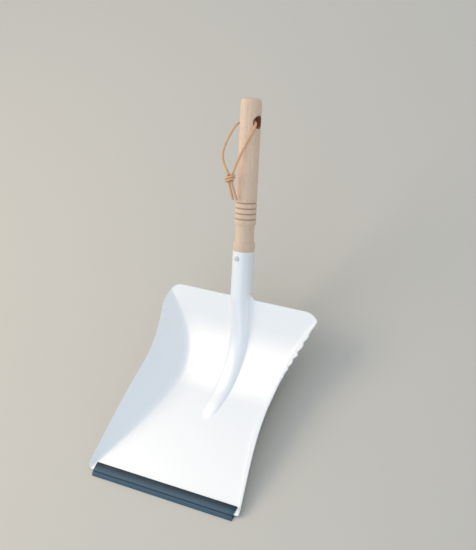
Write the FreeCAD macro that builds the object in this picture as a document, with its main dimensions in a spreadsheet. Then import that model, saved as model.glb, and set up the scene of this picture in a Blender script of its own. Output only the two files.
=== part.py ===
import FreeCAD, Part
import math
import os
import Sketcher
from FreeCAD import Placement, Rotation, Vector

# A pressed steel dustpan with a turned wooden handle, lying on the floor as it is used.
# X runs along the lip, +Y from the lip to the handle, +Z up.  The origin is on the floor,
# under the middle of the pan and handle together.  Millimetres and degrees.

DIMENSIONS = [
    ("lip_width", 236.0, "width of the flat blank at the front corners"),
    ("rear_width", 239.5, "width of the flat blank at the rear edge"),
    ("sheet", 1.0, "thickness of the steel"),
    ("floor_gap", 2.0, "underside of the pan above the ground, the lip's lower leg"),
    ("flat_run", 145.0, "flat floor, from the lip's front edge to the belly"),
    ("belly_radius", 118.0, "radius of the curved belly, on its upper face"),
    ("handle_angle", 46.0, "rise of the rear edge, socket and handle"),
    ("rear_run", 31.0, "straight rear part of the floor, after the belly"),
    ("wall_slant", 46.4, "slant height of the side walls where they are tallest"),
    ("wall_angle", 54.5, "side walls against the floor"),
    ("wall_peak", 163.5, "where the walls are tallest, along the floor from the front"),
    ("wall_end", 2.0, "height of wall left at the front and at the rear"),
    ("fold_radius", 14.0, "inside radius of the fold at the tallest wall"),
    ("rear_corner", 12.0, "radius of the two rear corners"),
    ("rear_inset", 5.5, "rear corners, in from the edge of the flat blank"),
    ("front_corner", 7.0, "radius of the two front corners"),
    ("ridge_start", 112.0, "nose of the stiffening ridge, along the floor from the front"),
    ("ridge_nose_width", 20.0, "width of the ridge at its nose"),
    ("ridge_nose_rise", 2.6, "height of the ridge at its nose"),
    ("socket_outer", 26.5, "outside diameter of the rolled socket"),
    ("socket_length", 58.0, "socket, from the pan's rear edge to its rim"),
    ("socket_rise", 1.5, "axis of the socket above the upper face of the pan's rear"),
    ("socket_overlap", 9.0, "how far the socket's tube runs on under the pan"),
    ("web_radius", 8.0, "hollow corner between the rear edge and the socket"),
    ("handle_diameter", 25.0, "grip of the wooden handle"),
    ("handle_length", 182.5, "handle, from the socket's rim to its end"),
    ("tenon_length", 45.0, "turned tenon inside the socket"),
    ("tenon_gap", 0.25, "clearance round the tenon"),
    ("bead_diameter", 26.0, "bead that sits on the rim"),
    ("bead_length", 10.5, "length of the bead"),
    ("waist_diameter", 22.4, "waist above the bead"),
    ("waist_length", 21.0, "length of the waist"),
    ("groove_pitch", 6.5, "spacing of the grooves"),
    ("groove_first", 7.5, "first groove, above the waist"),
    ("groove_width", 3.0, "width of a groove"),
    ("groove_depth", 0.9, "depth of a groove"),
    ("end_round", 5.5, "rounding of the handle's end"),
    ("hole_setback", 27.5, "cross hole, from the handle's end"),
    ("hole_diameter", 13.0, "cross hole"),
    ("hole_mouth", 16.0, "width of the cross hole's flared mouths"),
    ("hole_flare", 3.0, "depth of the flare"),
    ("nail_setback", 8.5, "nail, below the socket's rim"),
    ("nail_head", 6.0, "diameter of the nail's head"),
    ("nail_head_height", 1.1, "height of the nail's head"),
    ("nail_shank", 2.5, "diameter of the nail's shank"),
    ("nail_length", 18.0, "length of the shank"),
    ("nail_gap", 0.1, "clearance round the shank"),
    ("rubber_length", 215.0, "length of the rubber lip"),
    ("rubber_depth", 17.3, "rubber lip, from its front edge to its back"),
    ("rubber_rise", 4.9, "height of the rubber lip above the ground"),
    ("rubber_edge", 0.9, "thickness of the rubber's front edge"),
    ("rubber_groove", 4.8, "groove in the rubber, from its front edge"),
    ("sheet_setback", 7.0, "front edge of the steel, from the rubber's front edge"),
    ("slot_gap", 0.05, "clearance of the sheet in the rubber's slot"),
    ("lace_diameter", 3.0, "leather lace"),
    ("knot_width", 12.0, "knot across the handle"),
    ("knot_height", 10.0, "knot along the handle and off it"),
]

GROOVE_COUNT = 4
FIT_SLACK = 0.5          # how far cutting tools run past the faces they cut
WALL_SWELL = (1.12, 0.8)     # how slowly the walls rise from the front, and from the rear
END_FOLD = 1.5           # inside radius of the fold where the wall runs out
RIDGE_WIDENING = 0.8     # power of the ridge's widening, below 1 for an early one
RIDGE_CLIMB = 1.5        # power of the ridge's climb, above 1 for a late one
NAIL_SEAT = 0.15         # gap under the nail's head
RIM_CHAMFER = 0.3        # broken edges of the turned steps

# The lace, measured from the middle of the cross hole: across (X), up the handle, and out
# from its axis on the pan's open side.  It goes from the knot up one side, through the
# cross hole and back down over the handle to the knot.
LACE_ROUTE = [
    (-9.3, -63.0, 23.7),
    (-15.8, -53.0, 23.8),
    (-21.3, -41.0, 21.6),
    (-20.3, -27.5, 16.3),
    (-18.2, -15.0, 10.5),
    (-16.4, -4.5, 4.6),
    (-8.5, 1.0, 1.2),
    (7.5, 0.6, 1.0),
    (14.2, -1.6, 7.2),
    (12.6, -7.8, 9.4),
    (9.6, -16.7, 12.0),
    (4.6, -28.0, 14.9),
    (0.5, -39.2, 17.0),
    (-3.2, -51.6, 20.4),
    (-5.8, -63.0, 22.6),
]
KNOT_CENTRE = (-8.0, -67.0, 23.4)
TAIL_ROUTES = [
    [(-9.6, -70.5, 23.6), (-8.0, -82.0, 20.6), (-6.4, -92.4, 18.2)],
    [(-6.2, -70.5, 22.4), (-4.0, -82.0, 19.4), (-1.6, -92.8, 16.9)],
]

doc = FreeCAD.newDocument("Dustpan")


# ---------------------------------------------------------------- driving dimensions

def make_sheet():
    """Write every driving dimension into the spreadsheet, as text, with its alias."""
    table = doc.addObject("Spreadsheet::Sheet", "Dims")
    for row, (alias, value, note) in enumerate(DIMENSIONS, start=1):
        table.set(f"A{row}", alias)
        table.set(f"B{row}", str(value))
        table.set(f"C{row}", note)
        table.setAlias(f"B{row}", alias)
    doc.recompute()
    return table


class Size:
    """A length that carries its value and the spreadsheet expression that gives it."""

    def __init__(self, value, text):
        self.value = value
        self.text = text

    def _join(self, other, sign, value):
        right = other.text if isinstance(other, Size) else str(other)
        return Size(value, f"({self.text} {sign} {right})")

    def __add__(self, other):
        return self._join(other, "+", self.value + number(other))

    def __sub__(self, other):
        return self._join(other, "-", self.value - number(other))

    def __mul__(self, other):
        return self._join(other, "*", self.value * number(other))

    def __truediv__(self, other):
        return self._join(other, "/", self.value / number(other))

    def __neg__(self):
        return Size(-self.value, f"(0 - {self.text})")


def number(item):
    """Value of a Size, or the plain number itself."""
    return item.value if isinstance(item, Size) else float(item)


def size(alias):
    """A driving dimension by name."""
    return Size(float(sheet.get(alias)), f"Dims.{alias}")


def bind(obj, prop, dimension):
    """Set a property from a Size and keep it tied to the spreadsheet."""
    setattr(obj, prop, dimension.value)
    obj.setExpression(prop, dimension.text)


sheet = make_sheet()
value = {alias: float(sheet.get(alias)) for alias, _, _ in DIMENSIONS}


# ---------------------------------------------------------------- shared geometry

RISE = math.radians(value["handle_angle"])
BELLY_LENGTH = value["belly_radius"] * RISE
FLOOR_LENGTH = value["flat_run"] + BELLY_LENGTH + value["rear_run"]
FLOOR_TOP = value["floor_gap"] + value["sheet"]
UP_HANDLE = Vector(0, math.cos(RISE), math.sin(RISE))
OFF_HANDLE = Vector(0, -math.sin(RISE), math.cos(RISE))
ACROSS = Vector(1, 0, 0)


def floor_point(along):
    """Point and slope of the floor's upper face, by distance from the lip's front edge."""
    flat, radius = value["flat_run"], value["belly_radius"]
    if along <= flat:
        return Vector(0, along, FLOOR_TOP), 0.0
    turn = min((along - flat) / radius, RISE)
    y = flat + radius * math.sin(turn)
    z = FLOOR_TOP + radius * (1 - math.cos(turn))
    rest = max(along - flat - BELLY_LENGTH, 0.0)
    return Vector(0, y + rest * math.cos(turn), z + rest * math.sin(turn)), turn


REAR_EDGE = floor_point(FLOOR_LENGTH)[0]
RIM = REAR_EDGE + UP_HANDLE * value["socket_length"] + OFF_HANDLE * value["socket_rise"]
HOLE_UP = value["handle_length"] - value["hole_setback"]


def handle_reach():
    """Furthest point of the rounded handle end along +Y."""
    ring = value["handle_diameter"] / 2 - value["end_round"]
    centre = RIM + UP_HANDLE * (value["handle_length"] - value["end_round"])
    return centre.y + ring * math.sin(RISE) + value["end_round"]


TO_ORIGIN = Vector(0, -handle_reach() / 2, 0)
PAN_PLACE = Placement(TO_ORIGIN, Rotation())
TURN_UP = Rotation(ACROSS, math.degrees(RISE) - 90)
HANDLE_PLACE = Placement(RIM + TO_ORIGIN, TURN_UP)


def from_rim(across, up, off):
    """Point given from the middle of the socket's rim, in the part's frame."""
    return RIM + TO_ORIGIN + ACROSS * across + UP_HANDLE * up + OFF_HANDLE * off


def from_hole(across, up, off):
    """Point given from the middle of the cross hole, in the part's frame."""
    return from_rim(across, HOLE_UP + up, off)


# ---------------------------------------------------------------- small makers

def primitive(kind, name, sizes, place):
    """A Part primitive whose sizes are bound to the spreadsheet."""
    obj = doc.addObject(kind, name)
    for prop, dimension in sizes.items():
        bind(obj, prop, dimension)
    obj.Placement = place
    return obj


def solid_feature(name, shape):
    """A Part::Feature for a shape that no primitive or sketch gives."""
    obj = doc.addObject("Part::Feature", name)
    obj.Shape = shape
    return obj


def fuse(name, pieces):
    obj = doc.addObject("Part::MultiFuse", name)
    obj.Shapes = pieces
    return obj


def cut(name, base, tool):
    obj = doc.addObject("Part::Cut", name)
    obj.Base = base
    obj.Tool = tool
    return obj


def origin_plane(body, role):
    return next(item for item in body.Origin.OriginFeatures if item.Role == role)


def profile(body, name, role, corners):
    """Closed polygon sketch; each corner is held from the origin by two bound sizes."""
    sketch = body.newObject("Sketcher::SketchObject", name)
    sketch.AttachmentSupport = [(origin_plane(body, role), "")]
    sketch.MapMode = "FlatFace"
    ends = [Vector(number(a), number(b), 0) for a, b in corners]
    for index, start in enumerate(ends):
        sketch.addGeometry(Part.LineSegment(start, ends[(index + 1) % len(ends)]), False)
    for index, corner in enumerate(corners):
        before = (index - 1) % len(corners)
        sketch.addConstraint(Sketcher.Constraint("Coincident", before, 2, index, 1))
        for direction, length in zip(("DistanceX", "DistanceY"), corner):
            held = sketch.addConstraint(
                Sketcher.Constraint(direction, -1, 1, index, 1, number(length)))
            if isinstance(length, Size):
                sketch.setExpression(f"Constraints[{held}]", length.text)
    return sketch


def turned(name, corners, place):
    """A body turned about its own Z axis from half of its outline."""
    body = doc.addObject("PartDesign::Body", name)
    sketch = profile(body, name + "_outline", "XZ_Plane", corners)
    turning = body.newObject("PartDesign::Revolution", name + "_turning")
    turning.Profile = sketch
    turning.ReferenceAxis = (sketch, ["V_Axis"])
    turning.Angle = 360
    body.Tip = turning
    body.Placement = place
    return body


# ---------------------------------------------------------------- pan

def wall_height(along):
    """Slant height of the side wall: a quarter wave up to the peak and another down."""
    peak, low = value["wall_peak"], value["wall_end"]
    if along < peak:
        span, swell = peak, WALL_SWELL[0]
    else:
        span, swell = FLOOR_LENGTH - peak, WALL_SWELL[1]
    wave = max(math.cos(math.pi / 2 * abs(along - peak) / span), 0.0)
    return low + (value["wall_slant"] - low) * wave ** swell


def blank_half_width(along):
    """Half of the flat blank: parallel to the walls' peak, then tapering to the rear."""
    past = max(along - value["wall_peak"], 0.0) / (FLOOR_LENGTH - value["wall_peak"])
    return (value["lip_width"] + (value["rear_width"] - value["lip_width"]) * past) / 2


def at_section(along, across, off):
    """Point of a cross-section, set square to the floor."""
    foot, slope = floor_point(along)
    return foot + Vector(across, -off * math.sin(slope), off * math.cos(slope))


def pan_section(along):
    """Closed outline of the sheet at one station: floor, two folds and two walls."""
    lean = math.radians(value["wall_angle"])
    height, thick = wall_height(along), value["sheet"]
    fold = END_FOLD + value["fold_radius"] * height / value["wall_slant"]
    tangent = fold * math.tan(lean / 2)
    corner = blank_half_width(along) - height

    def half(side):
        def point(across, off):
            return at_section(along, side * across, off)

        def arc_point(radius, angle):
            return point(corner - tangent + radius * math.sin(angle),
                         fold - radius * math.cos(angle))

        def wall_point(reach, outward):
            return point(corner + reach * math.cos(lean) + outward * math.sin(lean),
                         reach * math.sin(lean) - outward * math.cos(lean))

        return {
            "top": wall_point(height, 0), "top_out": wall_point(height, thick),
            "inner": [arc_point(fold, a) for a in (0, lean / 2, lean)],
            "outer": [arc_point(fold + thick, a) for a in (0, lean / 2, lean)],
        }

    right, left = half(1), half(-1)
    line, arc = Part.LineSegment, Part.Arc
    edges = [
        line(right["top"], right["inner"][2]), arc(*reversed(right["inner"])),
        line(right["inner"][0], left["inner"][0]), arc(*left["inner"]),
        line(left["inner"][2], left["top"]), line(left["top"], left["top_out"]),
        line(left["top_out"], left["outer"][2]), arc(*reversed(left["outer"])),
        line(left["outer"][0], right["outer"][0]), arc(*right["outer"]),
        line(right["outer"][2], right["top_out"]), line(right["top_out"], right["top"]),
    ]
    return Part.Wire([edge.toShape() for edge in edges])


def stations(start, stop, count):
    return [start + (stop - start) * step / (count - 1) for step in range(count)]


def pressed_sheet():
    """The pressed sheet: a straight-floored front and a curved rear, joined at the belly."""
    front = stations(value["sheet_setback"], value["flat_run"], 8)
    rear = stations(value["flat_run"], FLOOR_LENGTH, 9)
    lofts = [Part.makeLoft([pan_section(s) for s in run], True, False)
             for run in (front, rear)]
    return solid_feature("pressed_sheet", lofts[0].fuse(lofts[1]).removeSplitter())


def ridge_section(along, inset, depth):
    """Arch of the ridge at one station, over its base line, closed underneath."""
    share = (along - value["ridge_start"]) / (FLOOR_LENGTH - value["ridge_start"])
    swell = math.sin(math.pi / 2 * max(share, 0.0)) ** RIDGE_WIDENING
    nose_half, socket_half = value["ridge_nose_width"] / 2, value["socket_outer"] / 2
    half = nose_half + (socket_half - nose_half) * swell - inset
    full_rise = socket_half + value["socket_rise"]
    nose = value["ridge_nose_rise"]
    rise = nose + (full_rise - nose) * share ** RIDGE_CLIMB - inset
    side = half * math.sqrt(0.5)
    crest = rise * math.sqrt(0.5)
    points = [(half, 0), (side, crest), (0, rise), (-side, crest), (-half, 0)]
    arch = Part.BSplineCurve()
    arch.interpolate(Points=[at_section(along, a, b) for a, b in points],
                     InitialTangent=at_section(along, half, rise) - at_section(along, half, 0),
                     FinalTangent=at_section(along, -half, 0) - at_section(along, -half, rise))
    corners = [(-half, 0), (-half, -depth), (half, -depth), (half, 0)]
    low = [at_section(along, a, b) for a, b in corners]
    sides = [Part.LineSegment(a, b).toShape() for a, b in zip(low, low[1:])]
    return Part.Wire([arch.toShape()] + sides)


def ridge(name, inset, depth):
    """Lofted ridge, from its nose to the rear edge."""
    run = stations(value["ridge_start"] + 1.6 * inset, FLOOR_LENGTH, 9)
    return solid_feature(name, Part.makeLoft([ridge_section(s, inset, depth) for s in run], True))


def corner_tool(name, radius, place, depth):
    """What is trimmed off a corner to round it; the corner points along +X and +Y."""
    spare = size(radius) * 2
    block = primitive("Part::Box", name + "_block",
                      {"Length": spare, "Width": spare, "Height": depth}, place)
    round_off = primitive("Part::Cylinder", name + "_round",
                          {"Radius": size(radius), "Height": depth}, place)
    return cut(name, block, round_off)


def corner_tools():
    """The four corner tools, set square to the sheet."""
    tools = []
    depth = size("wall_slant")
    for side, turn in ((1, 0), (-1, 90)):
        word = "right" if side > 0 else "left"
        inward = value["rear_width"] / 2 - value["rear_inset"] - value["rear_corner"]
        seat = REAR_EDGE - UP_HANDLE * value["rear_corner"] - OFF_HANDLE * value["wall_slant"] / 2
        place = Placement(seat + ACROSS * side * inward,
                          Rotation(ACROSS, math.degrees(RISE)) * Rotation(Vector(0, 0, 1), turn))
        tools.append(corner_tool("rear_corner_" + word, "rear_corner", place, depth))
        inward = value["lip_width"] / 2 - value["front_corner"]
        seat = Vector(side * inward, value["sheet_setback"] + value["front_corner"],
                      -value["wall_slant"] / 2)
        place = Placement(seat, Rotation(Vector(0, 0, 1), -90 - turn))
        tools.append(corner_tool("front_corner_" + word, "front_corner", place, depth))
    return tools


def socket_web():
    """Flat web with a hollow corner each side, between the rear edge and the socket."""
    half = value["socket_outer"] / 2
    seat = REAR_EDGE - OFF_HANDLE * value["sheet"]
    turn = Rotation(ACROSS, math.degrees(RISE))
    reach = half + value["web_radius"]
    plate = primitive("Part::Box", "web_plate", {
        "Length": size("socket_outer") + size("web_radius") * 2,
        "Width": size("web_radius") * 1.25, "Height": size("sheet"),
    }, Placement(seat - ACROSS * reach - UP_HANDLE * value["web_radius"] / 4, turn))
    hollows = []
    for side, word in ((1, "right"), (-1, "left")):
        centre = seat + ACROSS * side * reach + UP_HANDLE * value["web_radius"]
        hollows.append(primitive(
            "Part::Cylinder", "web_hollow_" + word,
            {"Radius": size("web_radius"), "Height": size("sheet") * 3},
            Placement(centre - OFF_HANDLE * value["sheet"], turn)))
    return cut("web", plate, fuse("web_hollows", hollows))


def make_pan():
    """Sheet, ridge and socket in one piece, with the bore, the nail hole and the corners."""
    foot = RIM - UP_HANDLE * (value["socket_length"] + value["socket_overlap"])
    tube_length = size("socket_length") + size("socket_overlap")
    tube = primitive("Part::Cylinder", "socket_tube", {
        "Radius": size("socket_outer") / 2, "Height": tube_length,
    }, Placement(foot, TURN_UP))
    bore = primitive("Part::Cylinder", "socket_bore", {
        "Radius": size("socket_outer") / 2 - size("sheet"),
        "Height": tube_length + 2 * FIT_SLACK,
    }, Placement(foot - UP_HANDLE * FIT_SLACK, TURN_UP))
    nail_seat = RIM - UP_HANDLE * value["nail_setback"]
    nail_hole = primitive("Part::Cylinder", "nail_hole", {
        "Radius": size("nail_shank") / 2 + size("nail_gap"), "Height": size("socket_outer"),
    }, Placement(nail_seat, Rotation(Vector(0, 0, 1), OFF_HANDLE)))
    body = fuse("pan_blank", [pressed_sheet(), ridge("ridge_skin", 0.0, value["sheet"] / 2),
                              tube, socket_web()])
    hollows = [ridge("ridge_hollow", value["sheet"], value["sheet"] + FIT_SLACK), bore, nail_hole]
    pan = cut("pan_steel", body, fuse("pan_trim", hollows + corner_tools()))
    pan.Placement = PAN_PLACE
    return pan


# ---------------------------------------------------------------- handle, nail and lip

def handle_outline():
    """Half outline of the handle, from the tenon's foot to the rounded end."""
    grip, waist = size("handle_diameter") / 2, size("waist_diameter") / 2
    bead = size("bead_diameter") / 2
    tenon = size("socket_outer") / 2 - size("sheet") - size("tenon_gap")
    bead_top = size("bead_length")
    waist_top = bead_top + size("waist_length")
    half_groove = size("groove_width") / 2
    corners = [(0, -size("tenon_length")), (tenon - 1, -size("tenon_length")),
               (tenon, -size("tenon_length") + 1), (tenon, 0),
               (bead - RIM_CHAMFER, 0), (bead, bead_top * 0.25), (bead, bead_top * 0.75),
               (bead - 0.8, bead_top), (waist, bead_top + 1), (waist, waist_top - 1),
               (grip - RIM_CHAMFER, waist_top), (grip, waist_top + 1)]
    for index in range(GROOVE_COUNT):
        middle = waist_top + size("groove_first") + size("groove_pitch") * index
        corners += [(grip, middle - half_groove), (grip - size("groove_depth"), middle),
                    (grip, middle + half_groove)]
    top, rounding = size("handle_length"), size("end_round")
    for step in range(6):
        angle = math.pi / 2 * step / 5
        corners.append((grip - rounding * (1 - math.cos(angle)),
                        top - rounding * (1 - math.sin(angle))))
    return corners + [(0, top)]


def make_handle():
    """Turned handle with its cross hole, flared at both mouths, and the nail's pilot hole."""
    turning = turned("handle_turning", handle_outline(), Placement())
    width = size("handle_diameter")
    centre = Vector(0, 0, HOLE_UP)
    sideways = Rotation(Vector(0, 0, 1), ACROSS)
    tools = [primitive("Part::Cylinder", "cross_bore",
                       {"Radius": size("hole_diameter") / 2, "Height": width * 2},
                       Placement(centre - ACROSS * width.value, sideways))]
    for side, word in ((1, "right"), (-1, "left")):
        inner = centre + ACROSS * side * (width.value / 2 - value["hole_flare"])
        tools.append(primitive(
            "Part::Cone", "flare_" + word,
            {"Radius1": size("hole_diameter") / 2, "Radius2": size("hole_mouth") / 2,
             "Height": size("hole_flare")},
            Placement(inner, Rotation(Vector(0, 0, 1), ACROSS * side))))
    tools.append(primitive(
        "Part::Cylinder", "pilot_hole",
        {"Radius": size("nail_shank") / 2 + size("nail_gap"), "Height": width},
        Placement(Vector(0, value["nail_length"] - value["socket_outer"] / 2 + FIT_SLACK,
                         -value["nail_setback"]),
                  Rotation(Vector(0, 0, 1), Vector(0, -1, 0)))))
    handle = cut("handle_wood", turning, fuse("handle_holes", tools))
    handle.Placement = HANDLE_PLACE
    return handle


def make_nail():
    """Domed nail, driven from the pan's open side through the socket into the tenon."""
    head, shank = size("nail_head") / 2, size("nail_shank") / 2
    length, dome = size("nail_length"), size("nail_head_height")
    corners = [(0, -length), (shank, -length + size("nail_shank")), (shank, NAIL_SEAT),
               (head, NAIL_SEAT), (head, dome * 0.35 + NAIL_SEAT),
               (head * 0.72, dome * 0.8 + NAIL_SEAT), (0, dome + NAIL_SEAT)]
    face = from_rim(0, -value["nail_setback"], value["socket_outer"] / 2)
    return turned("nail_turning", corners, Placement(face, Rotation(Vector(0, 0, 1), OFF_HANDLE)))


def make_rubber_lip():
    """Rubber profile with a slot for the sheet's front edge, extruded along the lip."""
    depth, edge = size("rubber_depth"), size("rubber_edge")
    slot_low = size("floor_gap") - size("slot_gap")
    slot_high = size("floor_gap") + size("sheet") + size("slot_gap")
    slot_end = size("sheet_setback") - size("slot_gap")
    top, groove = size("rubber_rise"), size("rubber_groove")
    roof = slot_high + 0.9
    corners = [(0, 0), (depth, 0), (depth, slot_low), (slot_end, slot_low), (slot_end, slot_high),
               (depth, slot_high), (depth, top - 0.5), (depth - 0.9, top), (depth * 0.8, top),
               (groove + 1.3, roof), (groove + 0.6, roof - 0.3), (groove, roof - 1.0),
               (groove - 0.6, roof - 0.8), (0.5, edge), (0, edge * 0.6)]
    body = doc.addObject("PartDesign::Body", "lip_body")
    sketch = profile(body, "lip_profile", "YZ_Plane", corners)
    pad = body.newObject("PartDesign::Pad", "lip_extrusion")
    pad.Profile = sketch
    pad.Midplane = True
    bind(pad, "Length", size("rubber_length"))
    body.Tip = pad
    body.Placement = PAN_PLACE
    return body


# ---------------------------------------------------------------- lace

def bent_path(points, label):
    """Straight runs joined by tangent arcs as large as the two runs allow."""
    edges, radii, start = [], [], points[0]
    for before, here, after in zip(points, points[1:], points[2:]):
        back, ahead = before - here, after - here
        shorter = min(back.Length, ahead.Length)
        turn = math.pi - back.getAngle(ahead)
        trim = 0.45 * shorter
        radius = trim / math.tan(turn / 2)
        back.normalize()
        ahead.normalize()
        entry, leave = here + back * trim, here + ahead * trim
        bisector = (back + ahead).normalize()
        middle = here + bisector * (radius / math.cos(turn / 2) - radius)
        edges.append(Part.LineSegment(start, entry).toShape())
        edges.append(Part.Arc(entry, middle, leave).toShape())
        radii.append(radius)
        start = leave
    edges.append(Part.LineSegment(start, points[-1]).toShape())
    print(label, "radii", [round(r, 1) for r in radii])
    return Part.Wire(edges)


def lace_tube(route, label):
    """Round lace along a route given from the cross hole."""
    points = [from_hole(*point) for point in route]
    path = bent_path(points, label)
    radius = value["lace_diameter"] / 2
    circle = Part.Circle(points[0], points[1] - points[0], radius)
    tube = path.makePipeShell([Part.Wire([circle.toShape()])], True, False, 2)
    expected = math.pi * radius ** 2 * path.Length
    print(label, "length", round(path.Length, 1), "volume", round(tube.Volume, 1),
          "section times length", round(expected, 1))
    if abs(tube.Volume - expected) > 0.01 * expected:
        raise RuntimeError(label + " is not a clean tube")
    return tube


def make_lace():
    """Loop, knot and two loose ends of the leather lace."""
    loop = solid_feature("lace_loop_leather", lace_tube(LACE_ROUTE, "lace_loop"))
    tails = solid_feature("lace_tail_leather", Part.makeCompound(
        [lace_tube(route, "lace_tail") for route in TAIL_ROUTES]))
    knot = primitive("Part::Ellipsoid", "lace_knot_leather", {
        "Radius1": size("knot_height") / 2, "Radius2": size("knot_width") / 2,
        "Radius3": size("knot_height") / 2,
    }, Placement(from_hole(*KNOT_CENTRE), TURN_UP))
    return {"lace_loop": loop, "lace_tails": tails, "lace_knot": knot}


# ---------------------------------------------------------------- build and export

def main():
    nodes = {"pan": make_pan(), "handle": make_handle(), "nail": make_nail(),
             "rubber_lip": make_rubber_lip()}
    nodes.update(make_lace())
    for name, obj in nodes.items():
        obj.Label = name
    doc.recompute()
    for obj in doc.Objects:
        if "Invalid" in obj.State or "Error" in obj.State:
            raise RuntimeError("failed object: " + obj.Label)
    os.makedirs("parts", exist_ok=True)
    for name, obj in nodes.items():
        if obj.Shape.isNull() or not obj.Shape.isValid():
            raise RuntimeError("bad shape: " + name)
        obj.Shape.exportStep(f"parts/{name}.step")
        box = obj.Shape.BoundBox
        print(name, "solids", len(obj.Shape.Solids), "volume", round(obj.Shape.Volume, 1),
              "x", round(box.XMin, 1), round(box.XMax, 1), "y", round(box.YMin, 1),
              round(box.YMax, 1), "z", round(box.ZMin, 1), round(box.ZMax, 1))
    pivot = from_hole(0, 0, 0)
    print("lace pivot", [round(c, 3) for c in pivot])


main()
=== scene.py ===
import math

import bmesh
import bpy
from bpy.props import FloatProperty, FloatVectorProperty, IntProperty, PointerProperty
from mathutils import Matrix, Vector


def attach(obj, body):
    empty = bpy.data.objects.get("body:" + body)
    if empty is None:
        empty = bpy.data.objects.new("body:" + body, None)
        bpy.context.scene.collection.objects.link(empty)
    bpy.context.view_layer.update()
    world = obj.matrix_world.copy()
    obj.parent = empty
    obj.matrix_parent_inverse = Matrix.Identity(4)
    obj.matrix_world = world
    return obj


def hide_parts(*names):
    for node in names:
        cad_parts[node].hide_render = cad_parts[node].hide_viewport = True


bl_info = {
    "name": "Pressed Steel Dustpan",
    "version": (1, 0, 0),
    "blender": (4, 5, 0),
    "location": "3D View > Sidebar > Dustpan",
    "description": "Models a white steel dustpan with a turned beech handle, rubber lip and lace",
    "category": "Object",
}

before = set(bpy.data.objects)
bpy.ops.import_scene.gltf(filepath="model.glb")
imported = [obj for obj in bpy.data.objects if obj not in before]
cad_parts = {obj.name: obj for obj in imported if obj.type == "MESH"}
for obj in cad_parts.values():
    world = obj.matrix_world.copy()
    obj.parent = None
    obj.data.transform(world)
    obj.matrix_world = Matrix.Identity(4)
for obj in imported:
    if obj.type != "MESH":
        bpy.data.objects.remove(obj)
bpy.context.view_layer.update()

# The pan's floor runs from the lip towards the handle; lengths in metres, angles in radians.
# TO_ORIGIN is the y of the lip's front edge, from which the lengths along the pan are taken.
RISE = math.radians(46.0)
TO_ORIGIN = -0.212059
FLOOR_TOP = 0.003
SHEET = 0.001
SHEET_START = 0.007
FLAT_RUN = 0.145
BELLY_RADIUS = 0.118
REAR_RUN = 0.031
FLOOR_LENGTH = FLAT_RUN + BELLY_RADIUS * RISE + REAR_RUN
UP_HANDLE = Vector((0, math.cos(RISE), math.sin(RISE)))
OFF_HANDLE = Vector((0, -math.sin(RISE), math.cos(RISE)))
ACROSS = Vector((1, 0, 0))
SOCKET_LENGTH = 0.058
SOCKET_RISE = 0.0015
SOCKET_RADIUS = 0.01325
HANDLE_LENGTH = 0.1825
HOLE_UP = 0.155
HOLE_RADIUS, HOLE_MOUTH, HOLE_FLARE = 0.0065, 0.008, 0.003
GRIP_RADIUS, WAIST_RADIUS, BEAD_RADIUS = 0.0125, 0.0112, 0.0130
BEAD_LENGTH, WAIST_END, END_ROUNDING = 0.0105, 0.0300, 0.0055
TENON_LENGTH, TENON_RADIUS = 0.045, 0.0120
GROOVE_COUNT, GROOVE_FIRST, GROOVE_PITCH = 4, 0.0390, 0.0065
NAIL_DOWN, NAIL_HEAD, NAIL_SHANK, NAIL_LENGTH = 0.0085, 0.0030, 0.00125, 0.018
RUBBER_HALF, LIP_DEPTH, LIP_LINE = 0.1075, 0.0173, 0.0050

# The lace, from the middle of the cross hole: across, up the handle, off its axis.
LACE_ROUTE = [
    (-.0093, -.0630, .0237), (-.0172, -.0530, .0238), (-.0232, -.0410, .0216),
    (-.0228, -.0275, .0163), (-.0200, -.0150, .0105), (-.0168, -.0045, .0046),
    (-.0085, .0010, .0012), (.0075, .0006, .0010), (.0142, -.0016, .0072),
    (.0126, -.0078, .0094), (.0096, -.0167, .0120), (.0046, -.0280, .0149),
    (.0005, -.0392, .0170), (-.0032, -.0516, .0204), (-.0058, -.0630, .0226),
]
KNOT_CENTRE = (-.0080, -.0670, .0234)
KNOT_HALVES = (0.0072, 0.0058, 0.0056)
TAIL_ROUTES = {
    "lace_tail_left": [(-.0090, -.0660, .0236), (-.0096, -.0730, .0234),
                       (-.0080, -.0825, .0206), (-.0062, -.0926, .0182)],
    "lace_tail_right": [(-.0066, -.0660, .0224), (-.0060, -.0730, .0222),
                        (-.0040, -.0820, .0194), (-.0014, -.0930, .0169)],
}


# ---------------------------------------------------------------- sizes and finishes

class PanSizes(bpy.types.PropertyGroup):
    """Sizes of the pressed pan that can be changed without the frame."""

    ripple: FloatProperty(
        name="Wall Ripple", description="Height of the ripples the press left along the walls",
        default=0.0010, min=0.0, max=0.003, subtype="DISTANCE", unit="LENGTH")
    ripple_pitch: FloatProperty(
        name="Ripple Pitch", description="Distance from one ripple to the next",
        default=0.0128, min=0.005, max=0.05, subtype="DISTANCE", unit="LENGTH")
    edge_softness: FloatProperty(
        name="Edge Softness", description="Rounding of the painted sheet edges",
        default=0.00032, min=0.0, max=0.00045, subtype="DISTANCE", unit="LENGTH")
    nose_length: FloatProperty(
        name="Ridge Nose", description="Length of the ridge's rounded nose",
        default=0.020, min=0.002, max=0.03, subtype="DISTANCE", unit="LENGTH")


class HandleSizes(bpy.types.PropertyGroup):
    """Sizes of the turned handle."""

    sides: IntProperty(
        name="Sides", description="Faces round the handle", default=96, min=24, max=192)
    groove_softness: FloatProperty(
        name="Groove Softness", description="Rounding where a groove meets the grip",
        default=0.0005, min=0.0, max=0.001, subtype="DISTANCE", unit="LENGTH")


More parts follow.
